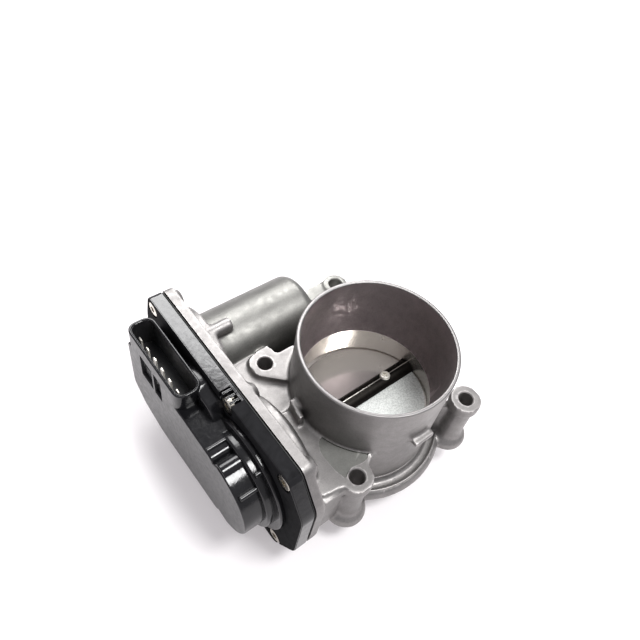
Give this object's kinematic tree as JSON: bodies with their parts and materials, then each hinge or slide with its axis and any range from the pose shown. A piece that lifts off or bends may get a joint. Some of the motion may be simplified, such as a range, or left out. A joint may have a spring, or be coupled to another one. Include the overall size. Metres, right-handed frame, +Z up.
{
  "type": "electronic throttle body",
  "caption": "Cast aluminium throttle body: open bore with a throttle plate on a cross shaft, side motor sleeve, bolt bosses and a black gear cover with a socket.",
  "frame": {"origin": "on the bore axis, in the plane of the outlet flange's face", "axes": "+Z up the bore to the inlet rim, +X along the throttle shaft away from the gear cover, +Y to the motor"},
  "size_m": [0.1215, 0.1245, 0.0769],
  "materials": {
    "cast_aluminium": "fine-blasted die casting, satin",
    "plate_aluminium": "turned and brushed",
    "cover_plastic": "glossy black, glass-filled",
    "seal_rubber": "matte",
    "zinc_steel": "zinc-plated",
    "dark_steel": "polished, dark",
    "pin_tin": "tin-plated",
    "gear_nylon": "moulded nylon",
    "brass": "machined",
    "magnet_ferrite": "sintered",
    "board": "solder-masked board"
  },
  "bodies": {
    "housing": {"throttle_housing": "cast_aluminium", "gear_cover": "cover_plastic", "cover_seal": "seal_rubber", "bearing_gear_side": "zinc_steel", "shaft_seal": "seal_rubber", "bearing_far_side": "zinc_steel", "spring_bush": "gear_nylon", "shaft_end_plug": "zinc_steel", "return_spring": "dark_steel", "idler_pin": "zinc_steel", "motor_can": "zinc_steel", "motor_magnet_1": "magnet_ferrite", "motor_magnet_2": "magnet_ferrite", "motor_end_plate": "cover_plastic", "motor_wave_washer": "zinc_steel", "motor_screw_1": "zinc_steel", "motor_screw_2": "zinc_steel", "motor_terminal_1": "brass", "motor_terminal_2": "brass", "sensor_board": "board", "cover_screw_1": "zinc_steel", "connector_pin_1": "pin_tin", "cover_screw_2": "zinc_steel", "connector_pin_2": "pin_tin", "cover_screw_3": "zinc_steel", "connector_pin_3": "pin_tin", "cover_screw_4": "zinc_steel", "connector_pin_4": "pin_tin", "cover_screw_5": "zinc_steel", "connector_pin_5": "pin_tin", "cover_screw_6": "zinc_steel", "connector_pin_6": "pin_tin"},
    "throttle": {"throttle_shaft": "dark_steel", "throttle_plate": "plate_aluminium", "plate_screw_1": "zinc_steel", "plate_screw_2": "zinc_steel", "throttle_gear": "gear_nylon", "sensor_magnet": "magnet_ferrite"},
    "idler": {"idler_gear": "gear_nylon"},
    "rotor": {"motor_shaft": "zinc_steel", "motor_armature": "dark_steel", "motor_pinion": "brass"}
  },
  "joints": [
    {"name": "throttle_turn", "type": "hinge", "parent": "housing", "child": "throttle", "pos_m": [0, 0, 0.019], "axis": [-1, 0, 0], "range_deg": [-7, 77], "stiffness_Nm_per_rad": 0.1},
    {"name": "idler_turn", "type": "hinge", "parent": "housing", "child": "idler", "pos_m": [-0.06, 0.03244, 0.02506], "axis": [-1, 0, 0], "range_deg": [-350, 35]},
    {"name": "motor_turn", "type": "hinge", "parent": "housing", "child": "rotor", "pos_m": [-0.025, 0.057, 0.022], "axis": [-1, 0, 0], "range_deg": [-130, 1390]}
  ],
  "couplings": [
    {"joint": "idler_turn", "follows": "throttle_turn", "ratio": -4.5},
    {"joint": "motor_turn", "follows": "throttle_turn", "ratio": 18}
  ]
}
